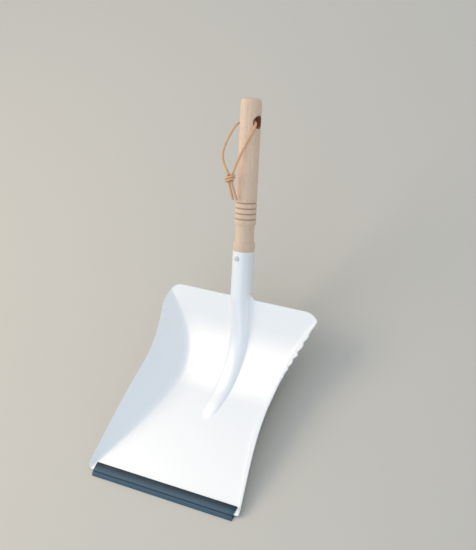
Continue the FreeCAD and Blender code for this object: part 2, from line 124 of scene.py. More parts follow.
class LaceSizes(bpy.types.PropertyGroup):
    """Sizes of the leather lace and its knot."""

    diameter: FloatProperty(
        name="Lace Diameter", description="Thickness of the round lace",
        default=0.003, min=0.001, max=0.006, subtype="DISTANCE", unit="LENGTH")
    knot_wraps: FloatProperty(
        name="Knot Wraps", description="Turns of lace round the knot",
        default=2.75, min=1.5, max=5)
    knot_tilt: FloatProperty(
        name="Knot Tilt", description="Lean of the wraps", default=math.radians(17),
        min=0.0, max=0.6, subtype="ANGLE", unit="ROTATION")


class Finishes(bpy.types.PropertyGroup):
    """Colours of the finishes."""

    enamel: FloatVectorProperty(
        name="Enamel", description="White powder coat", size=3, subtype="COLOR",
        default=(0.84, 0.855, 0.87), min=0, max=1)
    beech: FloatVectorProperty(
        name="Beech", description="Pale beech wood", size=3, subtype="COLOR",
        default=(0.87, 0.62, 0.45), min=0, max=1)
    nail: FloatVectorProperty(
        name="Nail", description="Dull zinc of the nail", size=3, subtype="COLOR",
        default=(0.62, 0.62, 0.61), min=0, max=1)
    rubber: FloatVectorProperty(
        name="Rubber", description="Blue-grey rubber of the lip", size=3, subtype="COLOR",
        default=(0.008, 0.024, 0.043), min=0, max=1)
    leather: FloatVectorProperty(
        name="Leather", description="Natural leather of the lace", size=3, subtype="COLOR",
        default=(0.78, 0.47, 0.26), min=0, max=1)


class StageSettings(bpy.types.PropertyGroup):
    """Floor, lights and camera."""

    floor: FloatVectorProperty(
        name="Floor", description="Colour of the plain floor", size=3, subtype="COLOR",
        default=(0.60, 0.56, 0.50), min=0, max=1)
    key_power: FloatProperty(
        name="Key Light", description="Power of the large light on the left",
        default=8.0, min=0, subtype="POWER", unit="POWER")
    fill_power: FloatProperty(
        name="Fill Light", description="Power of the light on the lip's side",
        default=1.2, min=0, subtype="POWER", unit="POWER")
    sky: FloatProperty(
        name="Sky", description="Strength of the even light all round", default=0.80, min=0)
    focal_length: FloatProperty(
        name="Focal Length", description="Camera focal length",
        default=104.727, min=10, subtype="DISTANCE_CAMERA", unit="CAMERA")


# ---------------------------------------------------------------- modelling helpers

def deselect_all():
    """Leaves nothing selected, in object mode."""
    if bpy.context.object and bpy.context.object.mode != "OBJECT":
        bpy.ops.object.mode_set(mode="OBJECT")
    bpy.ops.object.select_all(action="DESELECT")


def pick(*objs):
    """Selects only these objects; the first becomes active."""
    deselect_all()
    for obj in objs:
        obj.select_set(True)
    bpy.context.view_layer.objects.active = objs[0]


def named(name):
    """The object just added, under its own name, picked."""
    obj = bpy.context.object
    obj.name = obj.data.name = name
    pick(obj)
    return obj


def at_handle(up=0.0, across=0.0, off=0.0):
    """Point from the middle of the socket's rim, in the part's frame."""
    rear = floor_point(FLOOR_LENGTH)[0]
    rim = rear + UP_HANDLE * SOCKET_LENGTH + OFF_HANDLE * SOCKET_RISE
    return rim + ACROSS * across + UP_HANDLE * up + OFF_HANDLE * off


def at_hole(across, up, off):
    """Point from the middle of the cross hole, in the part's frame."""
    return at_handle(HOLE_UP + up, across, off)


def set_place(obj, place, z_axis, x_axis=ACROSS):
    """Turns a piece modelled round its own Z axis to lie along z_axis, and applies it."""
    z = z_axis.normalized()
    y = z.cross(x_axis).normalized()
    turn = Matrix((y.cross(z), y, z)).transposed().to_4x4()
    obj.matrix_world = Matrix.Translation(place) @ turn
    pick(obj)
    bpy.ops.object.transform_apply(location=True, rotation=True, scale=True)


def add_modifier(obj, kind, **settings):
    """Adds one modifier, sets it and applies it."""
    pick(obj)
    mod = obj.modifiers.new(kind.title(), kind)
    for key, setting in settings.items():
        setattr(mod, key, setting)
    bpy.ops.object.modifier_apply(modifier=mod.name)


def cut_with(obj, tool):
    """Cuts a tool piece out of the object, and removes the tool."""
    add_modifier(obj, "BOOLEAN", object=tool, operation="DIFFERENCE", solver="EXACT")
    bpy.data.objects.remove(tool, do_unlink=True)


def smooth(obj, degrees):
    """Smooth shading, with edges sharper than this angle left crisp."""
    pick(obj)
    bpy.ops.object.shade_smooth_by_angle(angle=math.radians(degrees))


def turned(name, outline, sides=64):
    """A lathe piece: a disc extruded and resized ring by ring; outline is (radius, height)."""
    deselect_all()
    radius, height = outline[0]
    bpy.ops.mesh.primitive_circle_add(
        vertices=sides, radius=radius, fill_type="NGON", location=(0, 0, height))
    obj = named(name)
    bpy.ops.object.transform_apply(location=True)
    bpy.ops.object.mode_set(mode="EDIT")
    bpy.ops.mesh.select_all(action="SELECT")
    for wider, higher in outline[1:]:
        bpy.ops.mesh.extrude_region_move(
            TRANSFORM_OT_translate={"value": (0, 0, higher - height)})
        if abs(wider - radius) > 1e-9:
            bpy.ops.transform.resize(value=(wider / radius, wider / radius, 1),
                                     center_override=(0, 0, higher))
        radius, height = wider, higher
    bpy.ops.mesh.select_all(action="SELECT")
    bpy.ops.mesh.normals_make_consistent(inside=False)
    bpy.ops.object.mode_set(mode="OBJECT")
    return obj


def to_mesh(obj, name):
    """Makes a curve a mesh with its place applied."""
    pick(obj)
    bpy.ops.object.convert(target="MESH")
    obj.name = obj.data.name = name
    return obj


def curve_piece(name, points, radius, resolution=10):
    """Open NURBS curve with a round section, led by the route's control points."""
    data = bpy.data.curves.new(name, "CURVE")
    data.dimensions = "3D"
    data.bevel_depth = radius
    data.bevel_resolution = 5
    data.use_fill_caps = True
    data.resolution_u = resolution
    spline = data.splines.new("NURBS")
    spline.points.add(len(points) - 1)
    for point, place in zip(spline.points, points):
        point.co = (*place, 1.0)
    spline.order_u = 3
    spline.use_endpoint_u = True
    obj = bpy.data.objects.new(name, data)
    bpy.context.scene.collection.objects.link(obj)
    return obj


# ---------------------------------------------------------------- the pan's pressed shape

def floor_point(along):
    """Point and slope of the floor's upper face, by distance from the lip's front edge."""
    if along <= FLAT_RUN:
        return Vector((0, along + TO_ORIGIN, FLOOR_TOP)), 0.0
    turn = min((along - FLAT_RUN) / BELLY_RADIUS, RISE)
    rest = max(along - FLAT_RUN - BELLY_RADIUS * RISE, 0.0)
    y = FLAT_RUN + BELLY_RADIUS * math.sin(turn) + rest * math.cos(turn)
    z = FLOOR_TOP + BELLY_RADIUS * (1 - math.cos(turn)) + rest * math.sin(turn)
    return Vector((0, y + TO_ORIGIN, z)), turn


WALL_PEAK = 0.1635
WALL_SLANT = 0.0464
WALL_END = 0.002
WALL_ANGLE = math.radians(54.5)
WALL_SWELL = (1.12, 0.8)
WALL_EASING, EASING_REACH = 0.35, 0.014
FOLD_RADIUS = (0.0015, 0.014)
RIPPLE_MIDDLE, RIPPLE_REACH = 0.226, 0.042
FRONT_HALF = 0.118
REAR_HALF = 0.11975
RIDGE_START = 0.112
NOSE_HALF = 0.010
NOSE_RISE = 0.0019
FRONT_CORNER = 0.007
REAR_CORNER = (0.030, 0.025)
WEB_RADIUS = 0.008


def wall_height(along):
    """Slant height of the side wall at one station."""
    before = along < WALL_PEAK
    span = WALL_PEAK if before else FLOOR_LENGTH - WALL_PEAK
    wave = max(math.cos(math.pi / 2 * abs(along - WALL_PEAK) / span), 0.0)
    easing = 1 - WALL_EASING * math.exp(-((FLOOR_LENGTH - along) / EASING_REACH) ** 2)
    swell = WALL_SWELL[0 if before else 1]
    return WALL_END + (WALL_SLANT - WALL_END) * easing * wave ** swell


def blank_half(along):
    """Half width of the flat blank, before its corners are rounded."""
    past = max(along - WALL_PEAK, 0.0) / (FLOOR_LENGTH - WALL_PEAK)
    return FRONT_HALF + (REAR_HALF - FRONT_HALF) * past


def rounded_half(along):
    """Half width of the blank with its four rounded corners."""
    half = blank_half(along)
    corners = ((FRONT_CORNER, FRONT_CORNER, along - SHEET_START),
               (*REAR_CORNER, FLOOR_LENGTH - along))
    for length, depth, gap in corners:
        if gap < length:
            half += depth * (math.sqrt(max(1 - (1 - gap / length) ** 2, 0.0)) - 1)
    return half


def ridge_profile(along, nose_length):
    """Half width, height, straight side and nose cut of the ridge at one station."""
    share = max(along - RIDGE_START, 0.0) / (FLOOR_LENGTH - RIDGE_START)
    half = NOSE_HALF + (SOCKET_RADIUS - NOSE_HALF) * math.sin(math.pi / 2 * share) ** 0.8
    full = SOCKET_RADIUS + SOCKET_RISE
    rise = NOSE_RISE + (full - NOSE_RISE) * share ** 1.5
    side = SOCKET_RISE * share ** 3
    nose = min(max((RIDGE_START + nose_length - along) / nose_length, 0.0), 1.0)
    return half, rise, side, nose


ARCH_STEPS = 13
ARCH_END = math.radians(78.0)
FOOT = ((0.0001, 0.45), (0.00035, 0.17), (0.0008, 0.05), (0.0016, 0.0))


def ridge_columns(along, nose_length):
    """The ridge's half section: (across, height) from its crest to the floor."""
    half, rise, side, nose = ridge_profile(along, nose_length)
    columns = []
    for step in range(ARCH_STEPS + 1):
        angle = ARCH_END * step / ARCH_STEPS
        level = math.cos(angle) ** 2 - nose ** 2
        soft = 0.60 * nose
        arch = math.sqrt(level + soft ** 2) - soft if level > 0 else 0.0
        height = (rise - side) * arch + side * (1 - nose)
        columns.append((half * math.sin(angle), height if level > 0 else 0.0))
    across, height = half, columns[-1][1]
    columns += [(across + out, height * share) for out, share in FOOT]
    return columns


def stations(nose_length):
    """Distances from the front at which the sheet's rows lie, closer where it turns."""
    rows = [SHEET_START + FRONT_CORNER * (1 - math.cos(math.pi / 2 * i / 8)) for i in range(9)]
    stops = [(RIDGE_START - 0.001, 0.0033), (RIDGE_START + nose_length + 0.001, 0.0008),
             (FLOOR_LENGTH - REAR_CORNER[0], 0.0018)]
    for stop, pitch in stops:
        count = math.ceil((stop - rows[-1]) / pitch)
        start = rows[-1]
        rows += [start + (stop - start) * (i + 1) / count for i in range(count)]
    rows += [FLOOR_LENGTH - REAR_CORNER[0] * (1 - math.sin(math.pi / 2 * i / 18))
             for i in range(1, 19)]
    return rows


WEB_COLUMNS, FLOOR_COLUMNS, FOLD_COLUMNS, WALL_COLUMNS = 6, 16, 12, 14


def row_points(along, sizes):
    """Points of one row on one side, from the middle to the rim, in the part's frame."""
    foot, slope = floor_point(along)
    height = wall_height(along)
    fold = FOLD_RADIUS[0] + FOLD_RADIUS[1] * height / WALL_SLANT
    tangent = fold * math.tan(WALL_ANGLE / 2)
    corner = blank_half(along) - height
    arch = ridge_columns(along, sizes.nose_length)
    start = arch[-1][0]
    edge = corner - tangent
    web = WEB_RADIUS - FOOT[-1][0]
    reach = arch + [(start + web * i / WEB_COLUMNS, 0) for i in range(1, WEB_COLUMNS + 1)]
    start += web
    reach += [(start + (edge - start) * i / FLOOR_COLUMNS, 0)
              for i in range(1, FLOOR_COLUMNS + 1)]
    reach += [(edge + 2 * tangent * i / FOLD_COLUMNS, 0) for i in range(1, FOLD_COLUMNS + 1)]
    top = blank_half(along)
    reach += [(edge + 2 * tangent + (top - corner - tangent) * i / WALL_COLUMNS, 0)
              for i in range(1, WALL_COLUMNS + 1)]
    trim = top - rounded_half(along)
    points = []
    for spread, lift in reach:
        spread -= trim * (spread / top) ** 4
        if spread <= edge:
            across, off = spread, lift
        elif spread < corner + tangent:
            angle = (spread - edge) / (2 * tangent) * WALL_ANGLE
            across = edge + fold * math.sin(angle)
            off = fold * (1 - math.cos(angle))
        else:
            wall = spread - corner
            across = corner + wall * math.cos(WALL_ANGLE)
            off = wall * math.sin(WALL_ANGLE)
            share = max(wall - tangent, 0.0) / max(height - tangent, 1e-6)
            bow = ripple_at(along, share, sizes)
            across += bow * math.sin(WALL_ANGLE)
            off -= bow * math.cos(WALL_ANGLE)
        points.append((across, foot + Vector((0, -off * math.sin(slope), off * math.cos(slope)))))
    return points


def ripple_at(along, share, sizes):
    """How far a point of the wall stands out or in, where the press gathered the steel."""
    reach = math.exp(-((along - RIPPLE_MIDDLE) / RIPPLE_REACH) ** 2)
    phase = 2 * math.pi * along / sizes.ripple_pitch
    wave = math.sin(phase) + 0.35 * math.sin(1.63 * phase + 0.8)
    return sizes.ripple * reach * wave * share ** 1.3


# ---------------------------------------------------------------- shader groups

def new_group(name, inputs, outputs):
    """Shader node group with named sockets: (name, socket type, default)."""
    group = bpy.data.node_groups.new(name, "ShaderNodeTree")
    for title, kind, default in inputs:
        socket = group.interface.new_socket(name=title, in_out="INPUT", socket_type=kind)
        if default is not None:
            socket.default_value = default
    for title, kind in outputs:
        group.interface.new_socket(name=title, in_out="OUTPUT", socket_type=kind)
    return group


class Nodes:
    """Short calls for adding and joining nodes in one tree."""

    def __init__(self, tree):
        self.tree = tree
        self.count = 0

    def add(self, kind, **settings):
        node = self.tree.nodes.new(kind)
        node.location = (220 * (self.count % 8) - 1400, -260 * (self.count // 8))
        self.count += 1
        for key, setting in settings.items():
            setattr(node, key, setting)
        return node

    def join(self, source, target):
        self.tree.links.new(source, target)

    def noise(self, vector, scale, detail=3.0, rough=0.5, distortion=0.0):
        node = self.add("ShaderNodeTexNoise")
        node.inputs["Scale"].default_value = scale
        node.inputs["Detail"].default_value = detail
        node.inputs["Roughness"].default_value = rough
        node.inputs["Distortion"].default_value = distortion
        self.join(vector, node.inputs["Vector"])
        return node.outputs["Fac"]

    def map(self, value, low, high, to_low=0.0, to_high=1.0):
        node = self.add("ShaderNodeMapRange")
        for key, number in (("From Min", low), ("From Max", high),
                            ("To Min", to_low), ("To Max", to_high)):
            node.inputs[key].default_value = number
        self.join(value, node.inputs["Value"])
        return node.outputs["Result"]

    def math(self, kind, a, b=0.0):
        node = self.add("ShaderNodeMath", operation=kind)
        for socket, item in zip(node.inputs, (a, b)):
            if isinstance(item, (int, float)):
                socket.default_value = item
            else:
                self.join(item, socket)
        return node.outputs[0]

    def mix(self, factor, a, b, blend="MIX"):
        node = self.add("ShaderNodeMix", data_type="RGBA", blend_type=blend)
        for socket, item in ((node.inputs[0], factor), (node.inputs[6], a), (node.inputs[7], b)):
            if isinstance(item, (int, float, tuple)):
                socket.default_value = item
            else:
                self.join(item, socket)
        return node.outputs[2]

    def stretch(self, vector, scale, rotation=(0, 0, 0), location=(0, 0, 0)):
        node = self.add("ShaderNodeMapping")
        node.inputs["Scale"].default_value = scale
        node.inputs["Rotation"].default_value = rotation
        node.inputs["Location"].default_value = location
        self.join(vector, node.inputs["Vector"])
        return node.outputs["Vector"]

    def bump(self, height, strength, distance, normal=None):
        node = self.add("ShaderNodeBump")
        node.inputs["Strength"].default_value = strength
        node.inputs["Distance"].default_value = distance
        self.join(height, node.inputs["Height"])
        if normal is not None:
            self.join(normal, node.inputs["Normal"])
        return node.outputs["Normal"]


def build_wear_and_hollow_masks():
    """Masks of worn edges, broken up by noise, and of hollows, which the finishes darken."""
    group = new_group(
        "Wear and Hollows",
        [("Vector", "NodeSocketVector", None), ("Break Up", "NodeSocketFloat", 240.0)],
        [("Edge", "NodeSocketFloat"), ("Hollow", "NodeSocketFloat")])
    n = Nodes(group)
    given, out = n.add("NodeGroupInput"), n.add("NodeGroupOutput")
    shape = n.add("ShaderNodeNewGeometry")
    noise = n.add("ShaderNodeTexNoise")
    noise.inputs["Detail"].default_value = 5.0
    n.join(given.outputs["Vector"], noise.inputs["Vector"])
    n.join(given.outputs["Break Up"], noise.inputs["Scale"])
    rim = n.map(shape.outputs["Pointiness"], 0.53, 0.60)
    spots = n.map(noise.outputs["Fac"], 0.42, 0.62)
    n.join(n.math("MULTIPLY", rim, spots), out.inputs["Edge"])
    n.join(n.map(shape.outputs["Pointiness"], 0.47, 0.40), out.inputs["Hollow"])
    return group


def build_soft_mottle():
    """Broad, weak variation that keeps a plain surface from looking flat."""
    group = new_group(
        "Soft Mottle",
        [("Vector", "NodeSocketVector", None), ("Broad", "NodeSocketFloat", 14.0),
         ("Fine", "NodeSocketFloat", 320.0)],
        [("Broad", "NodeSocketFloat"), ("Fine", "NodeSocketFloat")])
    n = Nodes(group)
    given, out = n.add("NodeGroupInput"), n.add("NodeGroupOutput")
    for title, detail in (("Broad", 3.0), ("Fine", 5.0)):
        noise = n.add("ShaderNodeTexNoise")
        noise.inputs["Detail"].default_value = detail
        n.join(given.outputs["Vector"], noise.inputs["Vector"])
        n.join(given.outputs[title], noise.inputs["Scale"])
        n.join(noise.outputs["Fac"], out.inputs[title])
    return group


def use_group(nodes, group, vector, **values):
    """Places a shader group, set by its socket names, and returns its outputs."""
    node = nodes.add("ShaderNodeGroup")
    node.node_tree = bpy.data.node_groups[group]
    nodes.join(vector, node.inputs["Vector"])
    for key, number in values.items():
        node.inputs[key.replace("_", " ")].default_value = number
    return node.outputs


def new_material(name, **constants):
    """Material with one Principled BSDF; returns it with its Nodes, shader and coordinates."""
    material = bpy.data.materials.new(name)
    material.use_nodes = True
    nodes = Nodes(material.node_tree)
    shader = material.node_tree.nodes["Principled BSDF"]
    for key, constant in constants.items():
        shader.inputs[key.replace("_", " ")].default_value = constant
    place = nodes.add("ShaderNodeTexCoord").outputs["Object"]
    return material, nodes, shader, place


def shade(colour, factor):
    """A lighter or darker tone of a colour, with alpha."""
    return tuple(min(c * factor, 1.0) for c in colour) + (1.0,)


def enamel_material(colour):
    """White enamel: faint mottle and orange peel, dust, scuffs and worn edges."""
    material, n, shader, place = new_material(
        "white_enamel", Specular_IOR_Level=0.25, Coat_Weight=0.04, Coat_Roughness=0.30,
        Coat_IOR=1.5, IOR=1.45)
    mottle = use_group(n, "Soft Mottle", place, Broad=16.0, Fine=420.0)
    edges = use_group(n, "Wear and Hollows", place, Break_Up=260.0)
    base = n.mix(n.map(mottle["Broad"], 0.35, 0.65), shade(colour, 0.985), shade(colour, 1.012))
    dust = n.map(n.noise(place, 900.0, 2.0), 0.70, 0.80, 0.0, 0.10)
    dusty = n.mix(dust, base, (0.55, 0.53, 0.50, 1.0))
    worn = n.mix(n.math("MULTIPLY", edges["Edge"], 0.22), dusty, (0.42, 0.43, 0.45, 1.0))
    # Darker in the hollows.
    hollows_darker = n.mix(n.math("MULTIPLY", edges["Hollow"], 0.10), worn, (0.52, 0.50, 0.47, 1.0))
    n.join(hollows_darker, shader.inputs["Base Color"])
    scuffs = n.noise(n.stretch(place, (6.0, 60.0, 6.0), (0.0, 0.0, 0.5)), 26.0, 4.0, 0.6)
    rough = n.math("ADD", n.map(mottle["Fine"], 0.3, 0.7, 0.50, 0.60),
                   n.map(scuffs, 0.60, 0.72, 0.0, 0.10))
    n.join(rough, shader.inputs["Roughness"])
    peel = n.bump(n.noise(place, 620.0, 2.0), 0.10, 0.0004)
    n.join(n.bump(n.noise(place, 42.0, 2.0), 0.05, 0.002, peel), shader.inputs["Normal"])
    return material


def beech_material(colour):
    """Beech along the handle: rings, pores, rays, and painted shade in the turned grooves, the
    hollows and the cross hole.
    """
    material, n, shader, place = new_material(
        "beech_wood", Coat_Weight=0.06, Coat_Roughness=0.35, IOR=1.45)
    centre = at_handle()
    turn = math.pi / 2 - RISE
    back = Matrix.Rotation(turn, 4, "X") @ Vector((-centre.x, -centre.y, -centre.z))
    grain = n.stretch(place, (1, 1, 1), (turn, 0, 0), tuple(back))
    wander = n.noise(n.stretch(grain, (1, 1, 0.22)), 60.0, 3.0)
    ringed = n.stretch(grain, (1.0, 1.0, 0.045), (0.03, 0.02, 0.4), (0.031, -0.012, 0.0))
    rings = n.add("ShaderNodeTexWave", wave_type="RINGS", rings_direction="Z",
                  wave_profile="SAW")
    for key, number in (("Scale", 34.0), ("Distortion", 2.6), ("Detail", 3.0),
                        ("Detail Scale", 1.6)):
        rings.inputs[key].default_value = number
    n.join(ringed, rings.inputs["Vector"])
    bands = rings.outputs["Fac"]
    pores = n.map(n.noise(n.stretch(grain, (1, 1, 0.035)), 2600.0, 2.0, 0.6), 0.58, 0.74)
    rays = n.map(n.noise(n.stretch(grain, (1, 1, 0.16)), 1150.0, 1.0, 0.4), 0.66, 0.73)
    fibre = n.noise(n.stretch(grain, (1, 1, 0.02)), 1100.0, 4.0, 0.65)
    base = n.mix(n.map(bands, 0.0, 1.0, 0.0, 0.55), shade(colour, 1.07), shade(colour, 0.90))
    base = n.mix(n.map(fibre, 0.3, 0.7, 0.0, 0.5), base, shade(colour, 0.86))
    base = n.mix(n.map(wander, 0.35, 0.7, 0.0, 0.35), base, (0.70, 0.60, 0.50, 1.0))
    axis = n.add("ShaderNodeSeparateXYZ")
    n.join(grain, axis.inputs["Vector"])
    low = n.map(axis.outputs["Z"], 0.075, 0.02, 0.0, 0.20)
    base = n.mix(low, base, (0.60, 0.41, 0.26, 1.0))
    base = n.mix(n.math("MULTIPLY", rays, 0.42), base, (0.36, 0.22, 0.13, 1.0))
    base = n.mix(n.math("MULTIPLY", pores, 0.30), base, (0.33, 0.21, 0.13, 1.0))
    edges = use_group(n, "Wear and Hollows", place, Break_Up=300.0)
    base = n.mix(n.math("MULTIPLY", edges["Edge"], 0.25), base, shade(colour, 1.18))
    # Painted shade in the hollows.
    base = n.mix(n.math("MULTIPLY", edges["Hollow"], 0.55), base, (0.20, 0.11, 0.06, 1.0))
    # Painted shade inside the cross hole, tinted red as by light bounced off the lace.
    from_bore = n.add("ShaderNodeVectorMath", operation="LENGTH")
    n.join(n.stretch(grain, (0, 1, 1), (0, 0, 0), (0, 0, -HOLE_UP)), from_bore.inputs[0])
    painted_bore_shade = n.map(from_bore.outputs["Value"], 0.0084, 0.0076, 0.0, 0.92)
    base = n.mix(painted_bore_shade, base, (0.290, 0.090, 0.032, 1.0))
    # Painted shade along the bottoms of the turned grooves.
    turned_up = n.math("DIVIDE", n.math("SUBTRACT", axis.outputs["Z"], GROOVE_FIRST), GROOVE_PITCH)
    from_groove = n.math("ABSOLUTE", n.math(
        "SUBTRACT", turned_up, n.math("ROUND", turned_up)))
    from_middle = n.math("ABSOLUTE", n.math(
        "SUBTRACT", turned_up, (GROOVE_COUNT - 1) / 2))
    painted_groove_shade = n.math("MULTIPLY", n.map(from_groove, 0.22, 0.05, 0.0, 0.46),
                  n.map(from_middle, GROOVE_COUNT / 2 - 0.15, GROOVE_COUNT / 2 - 0.25))
    base = n.mix(painted_groove_shade, base, (0.300, 0.165, 0.095, 1.0))
    n.join(base, shader.inputs["Base Color"])
    n.join(n.map(fibre, 0.3, 0.7, 0.42, 0.60), shader.inputs["Roughness"])
    grooves = n.math("ADD", n.math("MULTIPLY", pores, -0.7), n.math("MULTIPLY", fibre, 0.35))
    n.join(n.bump(grooves, 0.30, 0.00025), shader.inputs["Normal"])
    return material


def nail_material(colour):
    """Dull zinc with worn edges and painted shade under the head."""
    material, n, shader, place = new_material("zinc_nail", Metallic=0.35, IOR=1.5)
    mottle = use_group(n, "Soft Mottle", place, Broad=380.0, Fine=1500.0)
    edges = use_group(n, "Wear and Hollows", place, Break_Up=700.0)
    base = n.mix(mottle["Broad"], shade(colour, 0.8), shade(colour, 1.25))
    # Painted shade in the hollow under the head.
    base = n.mix(n.math("MULTIPLY", edges["Hollow"], 0.6), base, (0.12, 0.09, 0.07, 1.0))
    n.join(n.mix(n.math("MULTIPLY", edges["Edge"], 0.6), base, (0.75, 0.75, 0.74, 1.0)),
           shader.inputs["Base Color"])
    n.join(n.map(mottle["Fine"], 0.3, 0.7, 0.50, 0.65), shader.inputs["Roughness"])
    n.join(n.bump(mottle["Fine"], 0.25, 0.0002), shader.inputs["Normal"])
    return material


def rubber_material(colour):
    """Blue-grey rubber with pale bloom, a painted highlight towards the front edge, and painted
    shade in its groove and hollows.
    """
    material, n, shader, place = new_material(
        "lip_rubber", IOR=1.34, Sheen_Weight=0.03, Sheen_Roughness=0.5)
    mottle = use_group(n, "Soft Mottle", place, Broad=60.0, Fine=900.0)
    edges = use_group(n, "Wear and Hollows", place, Break_Up=420.0)
    base = n.mix(mottle["Broad"], shade(colour, 0.85), shade(colour, 1.18))
    bloom = n.map(n.noise(n.stretch(place, (0.35, 1, 1)), 210.0, 4.0), 0.50, 0.75, 0.0, 0.22)
    base = n.mix(bloom, base, (0.05, 0.11, 0.17, 1.0))
    base = n.mix(n.math("MULTIPLY", edges["Edge"], 0.35), base, (0.09, 0.15, 0.20, 1.0))
    spot = n.add("ShaderNodeSeparateXYZ")
    n.join(place, spot.inputs["Vector"])
    # Painted highlight: lighter and bluer towards the front edge, where the lip's face catches the
    # light.
    painted_highlight = n.map(spot.outputs["Y"], TO_ORIGIN + 0.0135, TO_ORIGIN + 0.0080, 0.0, 0.60)
    base = n.mix(painted_highlight, base, (0.066, 0.146, 0.220, 1.0))
    # Painted shade along the lip's groove.
    from_line = n.math("ABSOLUTE", n.math(
        "SUBTRACT", spot.outputs["Y"], TO_ORIGIN + LIP_LINE))
    base = n.mix(n.map(from_line, 0.0010, 0.0004, 0.0, 0.65), base, (0.005, 0.010, 0.016, 1.0))
    # Painted shade in the hollows.
    base = n.mix(n.math("MULTIPLY", edges["Hollow"], 0.7), base, (0.006, 0.014, 0.022, 1.0))
    n.join(base, shader.inputs["Base Color"])
    n.join(n.map(mottle["Fine"], 0.3, 0.7, 0.34, 0.48), shader.inputs["Roughness"])
    drawn = n.noise(n.stretch(place, (0.05, 1, 1)), 1900.0, 2.0)
    n.join(n.bump(drawn, 0.10, 0.0002), shader.inputs["Normal"])
    return material


def leather_material(colour):
    """Natural leather with fine creases."""
    material, n, shader, place = new_material(
        "natural_leather", IOR=1.45, Sheen_Weight=0.15, Sheen_Roughness=0.45)
    mottle = use_group(n, "Soft Mottle", place, Broad=120.0, Fine=1700.0)
    edges = use_group(n, "Wear and Hollows", place, Break_Up=600.0)
    base = n.mix(mottle["Broad"], shade(colour, 0.80), shade(colour, 1.18))
    crack = n.add("ShaderNodeTexVoronoi", feature="DISTANCE_TO_EDGE")
    crack.inputs["Scale"].default_value = 1500.0
    n.join(place, crack.inputs["Vector"])
    creases = n.map(crack.outputs["Distance"], 0.0, 0.09, 1.0, 0.0)
    base = n.mix(n.math("MULTIPLY", creases, 0.30), base, shade(colour, 0.50))
    # Painted shade in the hollows, such as between the wraps of the knot.
    base = n.mix(n.math("MULTIPLY", edges["Hollow"], 0.5), base, shade(colour, 0.38))
    n.join(base, shader.inputs["Base Color"])
    n.join(n.map(mottle["Fine"], 0.3, 0.7, 0.45, 0.62), shader.inputs["Roughness"])
    height = n.math("SUBTRACT", mottle["Fine"], n.math("MULTIPLY", creases, 0.5))
    n.join(n.bump(height, 0.35, 0.0003), shader.inputs["Normal"])
    return material


def floor_material(colour):
    """Plain pale floor."""
    material, n, shader, place = new_material("plain_floor")
    broad = n.noise(place, 2.2, 2.0)
    n.join(n.mix(broad, shade(colour, 0.985), shade(colour, 1.015)), shader.inputs["Base Color"])
    n.join(n.map(n.noise(place, 30.0), 0.3, 0.7, 0.62, 0.70), shader.inputs["Roughness"])
    return material


def finish_piece(obj, material, body, degrees=34):
    """Smooth shading, material and body for a finished piece."""
    smooth(obj, degrees)
    obj.data.materials.clear()
    obj.data.materials.append(material)
    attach(obj, body)


# ---------------------------------------------------------------- operators

class DUSTPAN_OT_finishes(bpy.types.Operator):
    """Build the shared effects and the five finishes"""

    bl_idname = "dustpan.finishes"
    bl_label = "Build Finishes"

    def execute(self, context):
        finishes = context.scene.dustpan_finishes
        build_wear_and_hollow_masks()
        build_soft_mottle()
        enamel_material(finishes.enamel)
        beech_material(finishes.beech)
        nail_material(finishes.nail)
        rubber_material(finishes.rubber)
        leather_material(finishes.leather)
        return {"FINISHED"}


SOCKET_STEPS = (0.012, 0.014, 0.014, 0.0080, 0.0014, 0.0006)
SEAM_STEPS = 20
SEAM_HALF = 0.016
NEAR = 1e-5
SAME_POINT, SAME_CORNER = 0.00002, 0.000003
LEAST_WEB = 0.001
FLAT_Y = -0.1


def height_on_handle(place):
    """How far up the handle's direction a point lies, from the pan's rear edge."""
    return (place - floor_point(FLOOR_LENGTH)[0]).dot(UP_HANDLE)


def select_edges(shape, wanted):
    """Selects only the edges whose two ends both pass the test."""
    for edge in shape.edges:
        edge.select = False
    shape.select_flush(False)
    for edge in shape.edges:
        edge.select_set(all(wanted(vertex.co) for vertex in edge.verts))


